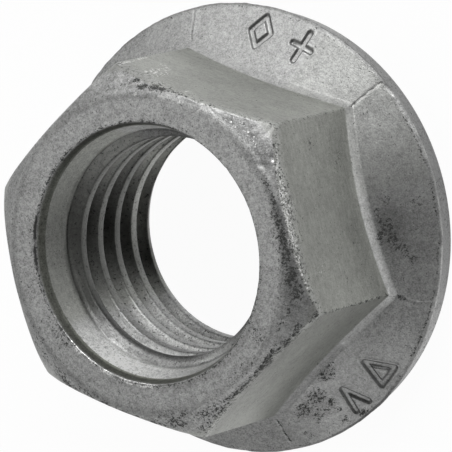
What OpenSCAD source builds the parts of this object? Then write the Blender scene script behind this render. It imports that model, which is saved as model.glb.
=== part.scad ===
// Hexagon flange nut with a coarse right-hand thread, standing on its bearing face.
// All sizes are in millimetres and the thread axis is the z axis.

/* [Hexagon] */
// width across the flats
across_flats = 32; // [29:0.5:35]
// height from the bearing face to the top face
nut_height = 21.1; // [19:0.1:26]
// angle that the top chamfer falls away from the top face
chamfer_angle = 32; // [20:1:38]
// diameter of the flat top face, where the chamfer starts
face_diameter = 30.6; // [27.5:0.1:31.5]
// diameter where the chamfer turns down more steeply towards the corners
ridge_diameter = 34.8; // [33:0.1:36]
// angle that the corners fall away outside that ridge
corner_angle = 47; // [40:1:60]

/* [Flange] */
// diameter at the widest point of the rim
flange_diameter = 44.4; // [42:0.2:52]
// height of the rim band
rim_height = 3.1; // [2:0.1:4.2]
// how much smaller the radius of the rim is at its foot
rim_taper = 0.7; // [0.2:0.1:1.2]
// slope of the upper flange face
flange_angle = 31; // [18:1:34]
// radius of the fillet between hexagon and flange
fillet_radius = 1.1; // [0.6:0.1:1.6]
// rounding at the upper edge of the rim
rim_edge = 0.3; // [0.1:0.05:0.6]

/* [Thread] */
// major diameter of the thread
thread_major = 24; // [22:0.5:24.5]
// pitch of the thread
thread_pitch = 3; // [2:0.25:3.5]
// crest diameter above the basic minor diameter
crest_allowance = 0.45; // [0.1:0.05:0.5]
// height of a crest on the -x side of the bore, which sets where the thread starts
crest_height = 15.84; // [14.4:0.02:17.3]

/* [Mouth] */
// diameter of the lip at the top face
mouth_diameter = 25.2; // [25:0.1:27]
// depth of the short chamfer below the lip
mouth_chamfer = 1.1; // [0.6:0.1:1.6]
// diameter at the top of the smooth tapered band
band_top_diameter = 24.5; // [24.2:0.1:24.9]
// diameter at the foot of the smooth tapered band
band_foot_diameter = 23.2; // [22.8:0.1:23.8]
// depth of the foot of the band below the top face
band_depth = 3.8; // [3:0.1:4.8]

/* [Bearing side] */
// diameter of the lead-in cone at the bearing face
lead_in_diameter = 26.6; // [25.4:0.1:28]
// depth of the lead-in cone
lead_in_depth = 3.3; // [2.4:0.1:4]
// how much wider than the crests the top of the lead-in cone is, in diameter
lead_in_step = 0.8; // [0.3:0.1:1.2]

/* [Hidden] */
steel_grey = [0.55, 0.56, 0.55];
eps = 0.01;
half_flats = across_flats / 2;
corner_radius = half_flats / cos(30);
face_radius = face_diameter / 2;
ridge_radius = ridge_diameter / 2;
ridge_z = nut_height - (ridge_radius - face_radius) * tan(chamfer_angle);
corner_reach = max(corner_radius, ridge_radius) + 1;
rim_radius = flange_diameter / 2;
foot_radius = rim_radius - rim_taper;
foot_edge = 0.2;
cone_top = rim_height + rim_radius * tan(flange_angle);
core_radius = half_flats - 1.5;

crest_radius = (thread_major - 1.0825 * thread_pitch + crest_allowance) / 2;
root_radius = thread_major / 2;
groove_inner = crest_radius - 0.45;
root_half = thread_pitch / 16;
inner_half = min(root_half + (root_radius - groove_inner) * tan(30), thread_pitch * 0.48);
thread_steps = 48;

ledge_top = nut_height - band_depth;
ledge_foot = ledge_top - (band_foot_diameter / 2 - crest_radius) * 0.8;
groove_low = -0.4 * thread_pitch;
groove_high = ledge_top + thread_pitch;
groove_turns = ceil((groove_high - groove_low) / thread_pitch);
groove_start = crest_height - thread_pitch / 2
    - thread_pitch * ceil((crest_height - thread_pitch / 2 - groove_low) / thread_pitch);
run_out_reach = max(root_radius, band_foot_diameter / 2) + 0.5;
run_out_gap = 0.2;

lead_in_top = crest_radius + lead_in_step / 2;
lead_in_end = lead_in_depth + lead_in_step * 0.9;

fillet_steps = 5;
flat_steps = 12;
sink = 0.04;

// height of the flange cone at a given radius
function cone_z(r) = rim_height + (rim_radius - r) * tan(flange_angle);

// distance from the axis to the hexagon wall in the direction a
function wall_r(a) = half_flats / cos(((a + 30) % 60) - 30);

// tangent length of the fillet at wall and cone
function tangent() = fillet_radius * tan((90 - flange_angle) / 2);

// directions around one flat, closer together near its two corners
function around() = [for (k = [0 : 5]) for (j = [0 : flat_steps - 1])
    k * 60 - 30 + 30 * (1 - cos(180 * j / flat_steps))];

// one point of the fillet: j runs from the wall down to the cone
function fillet_point(a, j) =
    let (r0 = wall_r(a),
         turn = (90 - flange_angle) * j / fillet_steps,
         out = fillet_radius * (1 - cos(turn)),
         down = fillet_radius * sin(turn),
         top = cone_z(r0) + tangent(),
         r = r0 + out - sink,
         z = top - down - sink)
    [r * cos(a), r * sin(a), z];

// closed section of the fillet ring: the arc and two points inside the body
function fillet_section(a) = concat(
    [for (j = [0 : fillet_steps]) fillet_point(a, j)],
    [[(wall_r(a) + 0.4) * cos(a), (wall_r(a) + 0.4) * sin(a), cone_z(wall_r(a)) - 1.2],
     [(wall_r(a) - 0.8) * cos(a), (wall_r(a) - 0.8) * sin(a), cone_z(wall_r(a)) - 1.2],
     [(wall_r(a) - 0.8) * cos(a), (wall_r(a) - 0.8) * sin(a), cone_z(wall_r(a)) + tangent() - sink]]);

// section of the thread groove at turn t, as four points
function groove_section(t) =
    let (a = 180 + 360 * t, z = groove_start + thread_pitch * t)
    [[groove_inner * cos(a), groove_inner * sin(a), z + inner_half],
     [root_radius * cos(a), root_radius * sin(a), z + root_half],
     [root_radius * cos(a), root_radius * sin(a), z - root_half],
     [groove_inner * cos(a), groove_inner * sin(a), z - inner_half]];

// triangles between section i and section j of m points each
function skin(i, j, m) = [for (k = [0 : m - 1])
    for (half = [0, 1]) half == 0
        ? [i * m + k, j * m + k, i * m + (k + 1) % m]
        : [j * m + k, j * m + (k + 1) % m, i * m + (k + 1) % m]];

// solid hexagon with its top chamfer, steeper at the corners
module hexagon_body() {
    intersection() {
        translate([0, 0, 1])
            rotate([0, 0, 30])
                cylinder(r = corner_radius, h = nut_height - 1, $fn = 6);
        rotate_extrude($fn = 180)
            polygon([
                [0, 0.5],
                [corner_reach, 0.5],
                [corner_reach, ridge_z - (corner_reach - ridge_radius) * tan(corner_angle)],
                [ridge_radius, ridge_z],
                [face_radius, nut_height],
                [0, nut_height]
            ]);
    }
}

// flange with its tapered rim and conical upper face
module flange_body() {
    rotate_extrude($fn = 180)
        polygon([
            [0, 0],
            [foot_radius - foot_edge, 0],
            [foot_radius, foot_edge],
            [rim_radius, rim_height - rim_edge * 0.4],
            [rim_radius - rim_edge, cone_z(rim_radius - rim_edge)],
            [core_radius, cone_z(core_radius)],
            [0, cone_z(core_radius)]
        ]);
}

// fillet ring that follows the hexagon where it meets the flange
module fillet_ring() {
    dirs = around();
    n = len(dirs);
    m = fillet_steps + 4;
    points = [for (a = dirs) each fillet_section(a)];
    faces = [for (i = [0 : n - 1]) each skin(i, (i + 1) % n, m)];
    polyhedron(points = points, faces = faces, convexity = 6);
}

// helical groove that cuts the thread
module thread_groove() {
    n = thread_steps * groove_turns;
    points = [for (i = [0 : n]) each groove_section(i / thread_steps)];
    sides = [for (i = [0 : n - 1]) each skin(i, i + 1, 4)];
    ends = [[0, 1, 2], [0, 2, 3],
            [4 * n, 4 * n + 2, 4 * n + 1], [4 * n, 4 * n + 3, 4 * n + 2]];
    polyhedron(points = points, faces = concat(sides, ends), convexity = 12);
}

// space that the groove keeps to, so that it runs out below the smooth band
module run_out() {
    band_foot = band_foot_diameter / 2;
    rotate_extrude($fn = 180)
        polygon([
            [0, -2 * thread_pitch],
            [run_out_reach, -2 * thread_pitch],
            [run_out_reach, ledge_top - (run_out_reach - band_foot) - run_out_gap],
            [band_foot - 2 * run_out_gap, ledge_top + run_out_gap],
            [0, ledge_top + run_out_gap]
        ]);
}

// bore at the crest diameter with the lead-in cone below and the tapered mouth above
module bore_cut() {
    translate([0, 0, -1])
        cylinder(r = crest_radius, h = nut_height + 2, $fn = 180);
    rotate_extrude($fn = 180)
        polygon([
            [0, -eps],
            [lead_in_diameter / 2, -eps],
            [lead_in_diameter / 2, 0],
            [lead_in_top, lead_in_depth],
            [crest_radius - 0.5, lead_in_end + 0.6],
            [0, lead_in_end + 0.6]
        ]);
    rotate_extrude($fn = 180)
        polygon([
            [0, ledge_foot - 0.4],
            [crest_radius - 0.5, ledge_foot - 0.4],
            [band_foot_diameter / 2, ledge_top],
            [band_top_diameter / 2, nut_height - mouth_chamfer],
            [mouth_diameter / 2, nut_height],
            [mouth_diameter / 2, nut_height + eps],
            [0, nut_height + eps]
        ]);
}

module nut() {
    color(steel_grey)
        difference() {
            union() {
                hexagon_body();
                flange_body();
                fillet_ring();
            }
            bore_cut();
            intersection() {
                thread_groove();
                run_out();
            }
        }
}

nut();
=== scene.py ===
"""Looks of a hexagon flange nut: one skin over the CAD solid, its coat, the floor, the light and the camera.

Sizes and places are in millimetres and degrees. The thread's axis is z, and angles start at x.
"""

import itertools
import math

import bpy
import numpy as np
from mathutils import Matrix, Vector


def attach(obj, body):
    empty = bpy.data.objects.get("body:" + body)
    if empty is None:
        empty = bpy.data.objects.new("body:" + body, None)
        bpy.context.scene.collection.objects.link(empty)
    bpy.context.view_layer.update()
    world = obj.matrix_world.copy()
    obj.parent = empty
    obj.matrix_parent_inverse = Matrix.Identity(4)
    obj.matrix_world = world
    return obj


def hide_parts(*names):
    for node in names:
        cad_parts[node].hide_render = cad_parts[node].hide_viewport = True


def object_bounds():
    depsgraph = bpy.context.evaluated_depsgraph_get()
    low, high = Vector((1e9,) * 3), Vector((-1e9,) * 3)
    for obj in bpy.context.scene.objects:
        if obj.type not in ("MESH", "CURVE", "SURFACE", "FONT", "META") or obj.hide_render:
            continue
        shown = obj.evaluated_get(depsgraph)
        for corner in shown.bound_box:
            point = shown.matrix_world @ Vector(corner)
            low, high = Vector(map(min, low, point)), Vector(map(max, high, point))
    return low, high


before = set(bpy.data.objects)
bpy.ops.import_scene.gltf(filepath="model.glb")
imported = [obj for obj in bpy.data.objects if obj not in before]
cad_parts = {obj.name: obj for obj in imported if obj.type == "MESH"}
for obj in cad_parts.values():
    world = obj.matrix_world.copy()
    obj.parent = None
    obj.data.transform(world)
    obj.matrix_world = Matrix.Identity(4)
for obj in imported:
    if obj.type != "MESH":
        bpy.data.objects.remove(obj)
cad_low, cad_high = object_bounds()

MM = 0.001
NUT = "nut"

# Sizes of the nut
BOX_RADIUS = (cad_high.x - cad_low.x) / 2 / MM
BOX_HEIGHT = cad_high.z / MM
SKIN_ROOM = 0.05
RIM = BOX_RADIUS - SKIN_ROOM
HEIGHT = BOX_HEIGHT - SKIN_ROOM
HALF_FLATS = 16.0
CORNER_ROUND = 0.32
FACE_RADIUS = 15.3
FACE_SOFT = 0.5
CHAMFER = math.radians(32)
RIDGE = 17.4
RIDGE_SOFT = 0.07
CORNER_FALL = math.radians(47)
FLANGE = math.radians(31)
RIM_TOP = 3.1
RIM_TAPER = 0.7
RIM_ROUND = 0.26
FILLET = 1.1
FILLET_FLATNESS = 0.6
FOOT = 0.2
LEAD_IN = (13.3, 0.0)
LEAD_IN_TOP = (11.0, 3.3)
BORE_FOOT = 0.12
LIP = (12.62, HEIGHT)
LIP_RING = (LIP[0] + 0.45, HEIGHT)
LIP_OUT = (LIP[0] + 0.1, HEIGHT)
LIP_IN = (LIP[0] - 0.05, HEIGHT - 0.16)
MOUTH_FOOT = (12.25, 20.0)
ABOVE_FOOT = (MOUTH_FOOT[0] + 0.03, MOUTH_FOOT[1] + 0.08)
BELOW_FOOT = (MOUTH_FOOT[0] - 0.02, MOUTH_FOOT[1] - 0.1)
BAND_TOP = (MOUTH_FOOT[0] - 0.07, MOUTH_FOOT[1] - 0.3)
BAND_FOOT = (11.6, 17.3)
LEDGE_FOOT = (10.6, 16.5)
PITCH = 3.0
CREST = 10.601
ROOT = 12.0
ROOT_HALF = PITCH / 16
FLANK = math.tan(math.radians(30))
CREST_HEIGHT = 15.84
CREST_ANGLE = 180.0
RUN_OUT_GAP = 0.2

# Columns of the mesh, per degree
PLAIN_COLUMNS = 1.16
CORNER_COLUMNS = 4.6
CORNER_SPREAD = 1.1
MARK_COLUMNS = 3.4
MARK_SPREAD = 4.6
COLUMN_STEPS = 6001

# Rows of the mesh in each zone
ROWS = {
    "bearing": 6, "foot": 3, "rim": 8, "rim_edge": 4, "flange": 40, "fillet": 7, "flat": 11, "roll": 5,
    "corner": 3, "chamfer": 5, "face_edge": 4, "face": 6, "face_inner": 4, "lip": 4, "mouth": 4,
    "mouth_edge": 3, "band_top": 2, "band": 6,
}

# Heights of the thread's rows above a crest's middle, over one pitch
STRIP = (0, 0.42, 0.52, 0.62, 0.84, 1.08, 1.28, 1.36, 1.64, 1.72, 1.92, 2.16, 2.38, 2.48, 2.58)
STRIP_GAP = 0.05

# Worn places of the edge between flats and chamfer: middle, half width, how far they are rolled
EDGE_WORN = ((2, 15, 1.1), (-60, 20, 0.2), (79, 8, 0.9))
EDGE_LEAST = 0.32
# Noise along that edge: size of its lumps in degrees, seed, strength
EDGE_UNEVEN = (2.4, 3, 0.25)
EDGE_GRAIN = (1.3, 4, 0.07)
# Reach of the roll over the chamfer, and small distances between rows
ROLL_REACH = 0.2
ROLL_SHARE = 0.22
RIDGE_APART = 0.1
RIM_SHOULDER = 0.14
LEAST_STEP = 0.02

# Forging seams that run out from the hexagon's corners: direction, how dark the crack is,
# how far its side is raised, and the radius where it starts and ends
SEAMS = (
    (29.6, 1.25, 0.25, 18.9, 22.0),
    (89.7, 0.6, 0.7, 19.0, 21.9),
    (150, 0.7, 0.6, 18.9, 21.6),
    (210, 0.5, 0.8, 19.2, 21.8),
    (269.5, 1.9, 0.25, 18.9, 21.2),
    (329.7, 0.9, 0.7, 18.5, 21.7),
)
SEAMS_APART = 5.0
SEAM_FADE = 0.3
CRACK_WIDTH = 0.11
RAISED_WIDTH = 0.16
RAISED_ASIDE = 0.22

# Stamped marks on the flange: where each lies, and its lines as points (across, outwards)
MARKS = (
    (67.0, 19.9, (((-1.1, 0), (0, 1.6), (1.1, 0), (0, -1.6), (-1.1, 0)),)),
    (53.2, 19.9, (((-1.05, 0), (1.05, 0)), ((0, -1.55), (0, 1.55)))),
    (-53.5, 20.0, (((-1.15, 1.3), (1.15, 1.3), (0, -1.4), (-1.15, 1.3)),)),
    (-65.3, 20.1, (((-0.9, 1.3), (0, -1.3), (0.9, 1.3)),)),
)
STROKE = 0.19
STROKE_WALL = 0.15
STROKE_DEPTH = 0.22
FAR = 9.0

# Noise in the surface and the masks: size of its lumps in millimetres, seed, strength
NOISE = {
    "forged": (3.0, 1, 0.012),
    "forged fine": (0.9, 2, 0.006),
    "turned": (1.4, 3, 0.004),
    "seam wander": (1.3, 11, 0.2),
    "seam grain": (0.45, 12, 0.1),
    "rim": (1.3, 21, 0.016),
    "rim fine": (0.45, 22, 0.014),
    "seam ragged": (0.5, 24, 0.35),
    "burr": (0.5, 28, 0.06),
    "ring": (0.7, 30, 0.08),
    "crack": (0.7, 30, 0.07),
    "battered": (0.9, 31, 0.07),
    "crack fine": (0.35, 34, 0.06),
    "rim glint": (1.2, 44, 0.4),
}

# Patches made from noise: size of its lumps in millimetres, seed, noise where they begin and are full
PATCHY = {
    "rim burr": (0.8, 23, -0.3, 0.6),
    "nicks": (0.5, 25, 0.2, 0.8),
    "crescent": (0.5, 26, -0.1, 0.7),
    "worn arc": (0.45, 27, 0.0, 0.6),
    "lip dents": (0.6, 29, 0.15, 0.7),
    "lip burr": (1.1, 32, -0.9, 0.1),
    "crack": (0.9, 33, -0.7, 0.2),
    "rim dirt": (1.6, 41, -0.6, 0.4),
    "burr metal": (0.7, 42, -0.9, 0.3),
    "flecks": (0.5, 43, -0.3, 0.2),
}

# How the noise is made: steps and factors of the hash that gives each grid corner its value
HASH_STEPS = (73856093, 19349663, 83492791)
HASH_SEED = 7919
HASH_FACTOR = 1274126177
HASH_HALF = 32767.5
SEED_SHIFT = 0.37


def lumps(points, size, seed):
    """Smooth noise from -1 to 1 at each point, with lumps of about that size."""
    grid = points / size + SEED_SHIFT * seed
    cell = np.floor(grid).astype(np.int64)
    part = grid - cell
    part = part * part * (3 - 2 * part)
    total = np.zeros(len(points))
    for corner in itertools.product((0, 1), repeat=3):
        key = ((cell + corner) * HASH_STEPS).sum(1) + seed * HASH_SEED
        key = ((key ^ (key >> 13)) * HASH_FACTOR) & 0xFFFFFFFF
        value = ((key ^ (key >> 16)) & 0xFFFF) / HASH_HALF - 1
        total += value * np.prod(np.where(corner, part, 1 - part), axis=1)
    return total


def noise(points, name):
    """One kind of the noise listed above, about zero."""
    size, seed, strength = NOISE[name]
    return strength * lumps(points, size, seed)


def patchy(points, name):
    """One kind of the patches listed above, from 0 to 1."""
    size, seed, low, high = PATCHY[name]
    return ramp(lumps(points, size, seed), low, high)


def ramp(value, low, high):
    """0 below low, 1 above high, and smooth between them."""
    part = np.clip((value - low) / (high - low), 0, 1)
    return part * part * (3 - 2 * part)


def window(value, low, high, soft):
    """1 between low and high, and soft at both ends."""
    return ramp(value, low - soft, low) * (1 - ramp(value, high, high + soft))


def bell(value, width):
    """1 at zero, falling to almost nothing at twice the width."""
    return np.exp(-((value / width) ** 2))


def away(angle, centre):
    """Signed degrees from centre to angle, the short way round."""
    return (angle - centre + 180) % 360 - 180


def cone_z(r):
    return RIM_TOP + (RIM - r) * math.tan(FLANGE)


def chamfer_z(r):
    """Height of the top chamfer, which falls more steeply outside its ridge."""
    gentle = HEIGHT - (r - FACE_RADIUS) * math.tan(CHAMFER)
    ridge = HEIGHT - (RIDGE - FACE_RADIUS) * math.tan(CHAMFER)
    steep = ridge - (r - RIDGE) * math.tan(CORNER_FALL)
    return -RIDGE_SOFT * np.logaddexp(-gentle / RIDGE_SOFT, -steep / RIDGE_SOFT)


def wall(angle):
    """Distance from the axis to the hexagon, its corners rounded."""
    off = (angle + 30) % 60 - 30
    flat = HALF_FLATS / np.cos(np.radians(off))
    middle = (HALF_FLATS - CORNER_ROUND) / math.cos(math.radians(30))
    tangent = math.degrees(math.atan2((HALF_FLATS - CORNER_ROUND) * FLANK, HALF_FLATS))
    side = np.radians(30 - np.abs(off))
    inside = np.clip(CORNER_ROUND**2 - (middle * np.sin(side)) ** 2, 0, None)
    arc = middle * np.cos(side) + np.sqrt(inside)
    return np.where(np.abs(off) > tangent, arc, flat)


def columns():
    """Directions of the mesh's columns in degrees, closer together at corners and marks."""
    found = []
    for middle in range(0, 360, 60):
        fine = np.linspace(-30, 30, COLUMN_STEPS)
        density = PLAIN_COLUMNS + CORNER_COLUMNS * bell(30 - np.abs(fine), CORNER_SPREAD)
        for angle, _, _ in MARKS:
            off = np.abs(away(middle + fine, angle))
            density = density + MARK_COLUMNS * (1 - ramp(off, MARK_SPREAD, MARK_SPREAD + 1))
        steps = (density[1:] + density[:-1]) / 2 * np.diff(fine)
        total = np.concatenate([[0], np.cumsum(steps)])
        count = 2 * round(total[-1] / 2)
        found.append(middle + np.interp(np.arange(count) / count * total[-1], total, fine))
    return np.concatenate(found)


def line(start, end, count, last=False):
    """Rows evenly spaced from start to end, the end left out unless it is the last."""
    shares = np.linspace(0, 1, count + 1)
    if not last:
        shares = shares[:-1]
    return [tuple(a + (b - a) * share for a, b in zip(start, end)) for share in shares]


def bend(start, corner, end, count):
    """Rows along a rounded corner, the end left out."""
    rows = []
    for share in np.linspace(0, 1, count + 1)[:-1]:
        weights = ((1 - share) ** 2, 2 * share * (1 - share), share**2)
        rows.append(tuple(sum(w * p for w, p in zip(weights, axis)) for axis in zip(start, corner, end)))
    return rows


def facet(start, corner, end, count):
    """Rows along a corner that is flatter than a round one."""
    rows = []
    for arc, chord in zip(bend(start, corner, end, count), line(start, end, count)):
        rows.append(tuple(a + (b - a) * FILLET_FLATNESS for a, b in zip(arc, chord)))
    return rows


def stack(angle, groups):
    """Zone names and arrays of r and z, one line for each row of the groups."""
    ones = np.ones_like(angle)
    zones = [name for name, rows in groups.items() for _ in rows]
    r = np.array([row[0] * ones for rows in groups.values() for row in rows])
    z = np.array([row[1] * ones for rows in groups.values() for row in rows])
    return zones, r, z


def around(angle, size, seed, strength):
    """Noise that runs round the nut, with lumps of that many degrees."""
    turn = np.radians(angle)
    radius = 180 / math.pi
    ring = np.stack([np.cos(turn) * radius, np.sin(turn) * radius, 0 * turn], axis=1)
    return strength * lumps(ring, size, seed)


def edge_roll(angle):
    """How far the worn edge between a flat and the chamfer is rolled down the flat."""
    worn = sum(depth * bell(away(angle, middle), width) for middle, width, depth in EDGE_WORN)
    return EDGE_LEAST + worn * (1 + around(angle, *EDGE_UNEVEN)) + around(angle, *EDGE_GRAIN)


def outer_rows(angle):
    """Rows from the lead-in's edge round the outside to the lip."""
    edge = wall(angle)
    top = chamfer_z(edge)
    roll = edge_roll(angle)
    rolled = edge - (ROLL_REACH + ROLL_SHARE * roll) * math.cos(CHAMFER)
    face_out = FACE_RADIUS + FACE_SOFT
    ridge = np.clip(rolled - RIDGE_APART, face_out + LEAST_STEP, RIDGE)
    rolled = np.maximum(rolled, ridge + LEAST_STEP)
    corner = line((rolled,), (ridge,), ROWS["corner"])
    chamfer = [row[0] for row in corner + line((ridge,), (face_out,), ROWS["chamfer"])]
    tangent = FILLET * math.tan((math.pi / 2 - FLANGE) / 2)
    fillet_foot = edge + tangent * math.cos(FLANGE)
    fillet_start = (fillet_foot, cone_z(fillet_foot))
    fillet_end = (edge, cone_z(edge) + tangent)
    foot = RIM - RIM_TAPER
    foot_corner = (foot - LEAST_STEP, LEAST_STEP)
    rim_high = (RIM, RIM_TOP - RIM_SHOULDER)
    rim_in = (RIM - RIM_ROUND, cone_z(RIM - RIM_ROUND))
    face_in = (FACE_RADIUS - FACE_SOFT, HEIGHT)
    rolled_end = (rolled, chamfer_z(rolled))
    return stack(angle, {
        "bearing": line(LEAD_IN, (foot - FOOT, 0), ROWS["bearing"]),
        "foot": bend((foot - FOOT, 0), foot_corner, (foot, FOOT), ROWS["foot"]),
        "rim": line((foot, FOOT), rim_high, ROWS["rim"]),
        "rim_edge": bend(rim_high, (RIM, RIM_TOP), rim_in, ROWS["rim_edge"]),
        "flange": line(rim_in, fillet_start, ROWS["flange"]),
        "fillet": facet(fillet_start, (edge, cone_z(edge)), fillet_end, ROWS["fillet"]),
        "flat": line(fillet_end, (edge, top - roll), ROWS["flat"]),
        "roll": bend((edge, top - roll), (edge, top), rolled_end, ROWS["roll"]),
        "chamfer": [(r, chamfer_z(r)) for r in chamfer],
        "face_edge": bend((face_out, chamfer_z(face_out)), (FACE_RADIUS, HEIGHT), face_in, ROWS["face_edge"]),
        "face": line(face_in, LIP_RING, ROWS["face"]) + line(LIP_RING, LIP_OUT, ROWS["face_inner"]),
        "lip": bend(LIP_OUT, LIP, LIP_IN, ROWS["lip"]),
    })


def mouth_rows(angle):
    """Rows down the mouth's short chamfer and the smooth tapered band."""
    band_top = line(BELOW_FOOT, BAND_TOP, ROWS["band_top"])
    return stack(angle, {
        "mouth": line(LIP_IN, ABOVE_FOOT, ROWS["mouth"]),
        "mouth_edge": bend(ABOVE_FOOT, MOUTH_FOOT, BELOW_FOOT, ROWS["mouth_edge"]),
        "band": band_top + line(BAND_TOP, BAND_FOOT, ROWS["band"], last=True),
    })


def thread_radius(angle, z):
    """Radius of the bore's wall: crests, grooves, the ledge above them and the lead-in below."""
    crest = CREST_HEIGHT + PITCH * away(angle, CREST_ANGLE) / 360
    off = np.abs((z - crest + PITCH / 2) % PITCH - PITCH / 2)
    groove = ROOT - np.clip(PITCH / 2 - off - ROOT_HALF, 0, None) / FLANK
    runout = BAND_FOOT[0] + BAND_FOOT[1] - RUN_OUT_GAP - z
    ledge_slope = (BAND_FOOT[0] - LEDGE_FOOT[0]) / (BAND_FOOT[1] - LEDGE_FOOT[1])
    ledge = LEDGE_FOOT[0] + (z - LEDGE_FOOT[1]) * ledge_slope
    lead_slope = (LEAD_IN[0] - LEAD_IN_TOP[0]) / (LEAD_IN_TOP[1] - LEAD_IN[1])
    lead_in = LEAD_IN[0] - (z - LEAD_IN[1]) * lead_slope
    return np.maximum.reduce([np.full_like(z, CREST), np.minimum(groove, runout), ledge, lead_in])


class Skin:
    """The nut's mesh: its points in cylinder coordinates, where each belongs, and its faces."""

    def __init__(self):
        self.angle, self.r, self.z = [np.zeros(0)] * 3
        self.out_r, self.out_z = [np.zeros(0)] * 2
        self.zone = np.zeros(0, dtype="U12")
        self.faces = []

    def add(self, zones, angle, r, z, out_r, out_z):
        """Adds points and gives their numbers in the shape of r."""
        first = len(self.r)
        self.angle = np.concatenate([self.angle, np.broadcast_to(angle, r.shape).ravel()])
        self.r = np.concatenate([self.r, r.ravel()])
        self.z = np.concatenate([self.z, z.ravel()])
        self.out_r = np.concatenate([self.out_r, out_r.ravel()])
        self.out_z = np.concatenate([self.out_z, out_z.ravel()])
        names = np.array(zones, dtype="U12")
        names = names[:, None] if names.ndim else names
        self.zone = np.concatenate([self.zone, np.broadcast_to(names, r.shape).ravel()])
        return first + np.arange(r.size).reshape(r.shape)

    def sheet(self, rows):
        """Faces between closed rows of point numbers."""
        beside = np.roll(rows, -1, axis=1)
        quads = np.stack([rows[:-1], beside[:-1], beside[1:], rows[1:]], axis=-1)
        self.faces += quads.reshape(-1, 4).tolist()

    def widen(self, fine, coarse, fine_first):
        """Faces between a closed row and one with half as many points."""
        left, middle, right = fine[::2], fine[1::2], np.roll(fine[::2], -1)
        after = np.roll(coarse, -1)
        corners = [(left, middle, coarse), (middle, after, coarse), (middle, right, after)]
        for corner in corners:
            faces = np.stack(corner if fine_first else corner[::-1], axis=-1)
            self.faces += faces.tolist()

    def points(self):
        turn = np.radians(self.angle)
        return np.stack([self.r * np.cos(turn), self.r * np.sin(turn), self.z], axis=1)

    def inside(self, zones):
        """1 at the points of these zones, whose names are given as one text."""
        return np.isin(self.zone, zones.split()).astype(float)

    @property
    def rolled(self):
        """Place on the worn edge between a flat and the chamfer: 0 at its foot, 1 at its top."""
        roll = edge_roll(self.angle)
        return (self.z - chamfer_z(wall(self.angle)) + roll) / roll

    def push(self, amount):
        """Moves the points along their outward direction."""
        self.r = self.r + self.out_r * amount
        self.z = self.z + self.out_z * amount


def outward(r, z):
    """Unit direction out of the metal, across rows that run anticlockwise round the section."""
    along_r, along_z = np.gradient(r, axis=0), np.gradient(z, axis=0)
    length = np.hypot(along_r, along_z)
    return along_z / length, -along_r / length


def add_thread(skin, angle, top_row, foot_row):
    """Faces of the bore between two closed rows, in rows that climb with the thread."""
    per_turn = len(STRIP)
    turns = math.ceil((BAND_FOOT[1] - BORE_FOOT) / PITCH) + 2
    row = np.arange(turns * per_turn)
    start = CREST_HEIGHT + PITCH * (angle[0] - CREST_ANGLE) / 360
    start -= PITCH * math.ceil((start - BORE_FOOT) / PITCH + 1)
    share = (angle - angle[0]) / 360
    climb = PITCH * (share[None, :] + (row // per_turn)[:, None])
    z = start + climb + np.array(STRIP)[row % per_turn, None]
    above, below = z > BAND_FOOT[1] - STRIP_GAP, z < BORE_FOOT + STRIP_GAP
    number = np.where(above, top_row, foot_row)
    free = ~(above | below)
    places = np.broadcast_to(angle, z.shape)[free]
    r = thread_radius(places, z[free])
    number[free] = skin.add("thread", places, r, z[free], -np.ones_like(r), np.zeros_like(r))
    climbed = np.concatenate([number[per_turn:, :1], np.repeat(top_row[:1], per_turn)[:, None]])
    beside = np.concatenate([number[:, 1:], climbed], axis=1)
    quads = np.stack([number[1:], beside[1:], beside[:-1], number[:-1]], axis=-1)
    for quad in quads.reshape(-1, 4).tolist():
        face = [p for p, q in zip(quad, quad[1:] + quad[:1]) if p != q]
        if len(set(face)) == len(face) > 2:
            skin.faces.append(face)


def build_skin():
    """The nut's surface as one closed mesh, smooth and clean."""
    skin = Skin()
    fine, coarse = columns(), columns()[::2]
    zones, r, z = outer_rows(fine)
    outer = skin.add(zones, fine, r, z, *outward(r, z))
    skin.sheet(outer)
    zones, r, z = mouth_rows(coarse)
    mouth = skin.add(zones, coarse, r, z, *outward(r, z))
    skin.sheet(mouth)
    skin.widen(outer[-1], mouth[0], True)
    foot_z = np.full_like(coarse, BORE_FOOT)
    foot_r = thread_radius(coarse, foot_z)
    inwards = -np.ones_like(foot_r)
    foot = skin.add("thread", coarse, foot_r, foot_z, inwards, 0 * inwards)
    add_thread(skin, coarse, mouth[-1], foot)
    skin.widen(outer[0], foot, False)
    return skin


def stroke_distance(across, outwards, start, end):
    """Distance from points to one straight stroke."""
    step = np.array(end) - np.array(start)
    along = (across - start[0]) * step[0] + (outwards - start[1]) * step[1]
    share = np.clip(along / (step @ step), 0, 1)
    return np.hypot(across - start[0] - share * step[0], outwards - start[1] - share * step[1])


def mark_distance(skin):
    """Distance to the nearest stroke of a mark, or FAR where there is none."""
    nearest = np.full(len(skin.r), FAR)
    for angle, middle, paths in MARKS:
        across = -np.radians(away(skin.angle, angle)) * skin.r
        outwards = (skin.r - middle) / math.cos(FLANGE)
        for start, end in (pair for path in paths for pair in zip(path, path[1:])):
            nearest = np.minimum(nearest, stroke_distance(across, outwards, start, end))
    return np.where(skin.inside("flange") > 0, nearest, FAR)


def seams(skin):
    """How much of a seam's crack, and of its raised side, lies at each point."""
    crack, raised = np.zeros(len(skin.r)), np.zeros(len(skin.r))
    forged = skin.inside("flange fillet")
    for number, (angle, dark, light, low, high) in enumerate(SEAMS):
        along = np.stack([skin.r, np.full_like(skin.r, number * SEAMS_APART), 0 * skin.r], axis=1)
        wander = noise(along, "seam wander") + noise(along, "seam grain")
        off = np.radians(away(skin.angle, angle)) * skin.r + wander
        run = forged * window(skin.r, low, high, SEAM_FADE)
        crack = np.maximum(crack, dark * run * bell(off, CRACK_WIDTH))
        raised = np.maximum(raised, light * run * bell(off + RAISED_ASIDE, RAISED_WIDTH))
    return crack, raised


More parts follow.
